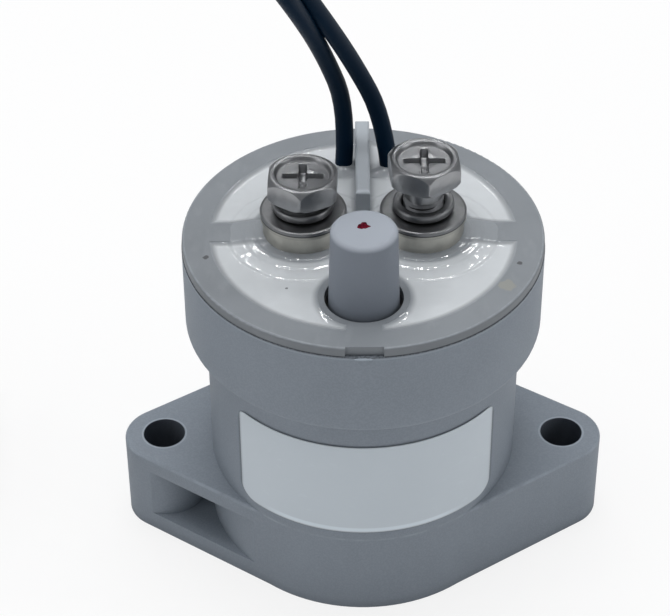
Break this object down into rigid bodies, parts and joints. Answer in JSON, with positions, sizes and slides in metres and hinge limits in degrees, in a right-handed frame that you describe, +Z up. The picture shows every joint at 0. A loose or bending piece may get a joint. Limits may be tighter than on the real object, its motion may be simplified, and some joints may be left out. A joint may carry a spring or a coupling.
{
  "type": "direct-current power relay",
  "caption": "Sealed round relay with a stepped moulded case on two mounting ears, screw terminals, a divider fin, a capped fill tube and black lead wires.",
  "frame": {"origin": "centre of the base's underside, on the surface the relay stands on", "axes": "+Z up along the case's axis, +X along the line of the two mounting holes towards the right terminal, +Y towards the lead wires; the label faces -Y"},
  "size_m": [0.1088, 0.0522, 0.1006],
  "materials": {
    "housing_plastic": "fine matt moulded thermoplastic",
    "lid_plastic": "satin moulded thermoplastic",
    "cap_plastic": "matt moulded thermoplastic with a paint dot",
    "resin": "glossy cast sealing compound",
    "label_film": "blank silver-white film, satin",
    "nickel_plate": "nickel plated, satin",
    "post_nickel": "nickel plated copper alloy",
    "spring_steel": "spring steel, zinc plated",
    "soft_iron": "zinc plated magnet iron",
    "bobbin_nylon": "natural nylon",
    "winding_copper": "enamelled copper wire",
    "chamber_ceramic": "off-white arc-proof moulding",
    "magnet_ferrite": "sintered magnet",
    "contact_copper": "bare copper",
    "contact_silver": "silver alloy",
    "wire_black": "black wire insulation, satin",
    "tinned_copper": "tinned stranded copper"
  },
  "bodies": {
    "root": {"housing": "housing_plastic", "lid": "lid_plastic", "potting": "resin", "label": "label_film", "tube_cap": "cap_plastic", "yoke_can": "soft_iron", "pole_plate": "soft_iron", "bobbin": "bobbin_nylon", "coil_winding": "winding_copper", "plunger_sleeve": "soft_iron", "fixed_core": "soft_iron", "return_spring": "spring_steel", "arc_chamber": "chamber_ceramic", "chamber_cover": "chamber_ceramic", "gas_fill_tube": "contact_copper", "front_arc_magnet": "magnet_ferrite", "rear_arc_magnet": "magnet_ferrite", "fixed_contact_pads": "contact_silver", "left_terminal_post": "post_nickel", "left_flat_washer": "nickel_plate", "left_spring_washer": "nickel_plate", "left_lead": "wire_black", "left_lead_coil": "wire_black", "left_lead_tip": "tinned_copper", "right_terminal_post": "post_nickel", "right_flat_washer": "nickel_plate", "right_spring_washer": "nickel_plate", "right_lead": "wire_black", "right_lead_coil": "wire_black", "right_lead_tip": "tinned_copper"},
    "armature": {"moving_core": "soft_iron", "shaft": "spring_steel", "spring_seat": "spring_steel", "retaining_clip": "spring_steel", "contact_spring": "spring_steel"},
    "bridge": {"contact_bridge": "contact_copper", "moving_contact_pads": "contact_silver"},
    "left_screw": {"left_terminal_screw": "nickel_plate"},
    "right_screw": {"right_terminal_screw": "nickel_plate"}
  },
  "joints": [
    {"name": "armature_stroke", "type": "slide", "parent": "root", "child": "armature", "axis": [0, 0, 1], "range_m": [0, 0.002], "stiffness_N_per_m": 800, "springref_m": -0.004, "deforming": ["return_spring"]},
    {"name": "bridge_overtravel", "type": "slide", "parent": "armature", "child": "bridge", "axis": [0, 0, 1], "range_m": [-0.0005, 0], "deforming": ["contact_spring"]},
    {"name": "left_screw_travel", "type": "slide", "parent": "root", "child": "left_screw", "axis": [0, 0, 1], "range_m": [-0.00075, 0.006]},
    {"name": "right_screw_travel", "type": "slide", "parent": "root", "child": "right_screw", "axis": [0, 0, 1], "range_m": [-0.0029, 0.0039]}
  ],
  "couplings": [
    {"joint": "bridge_overtravel", "follows": "armature_stroke", "ratio": -0.25}
  ]
}
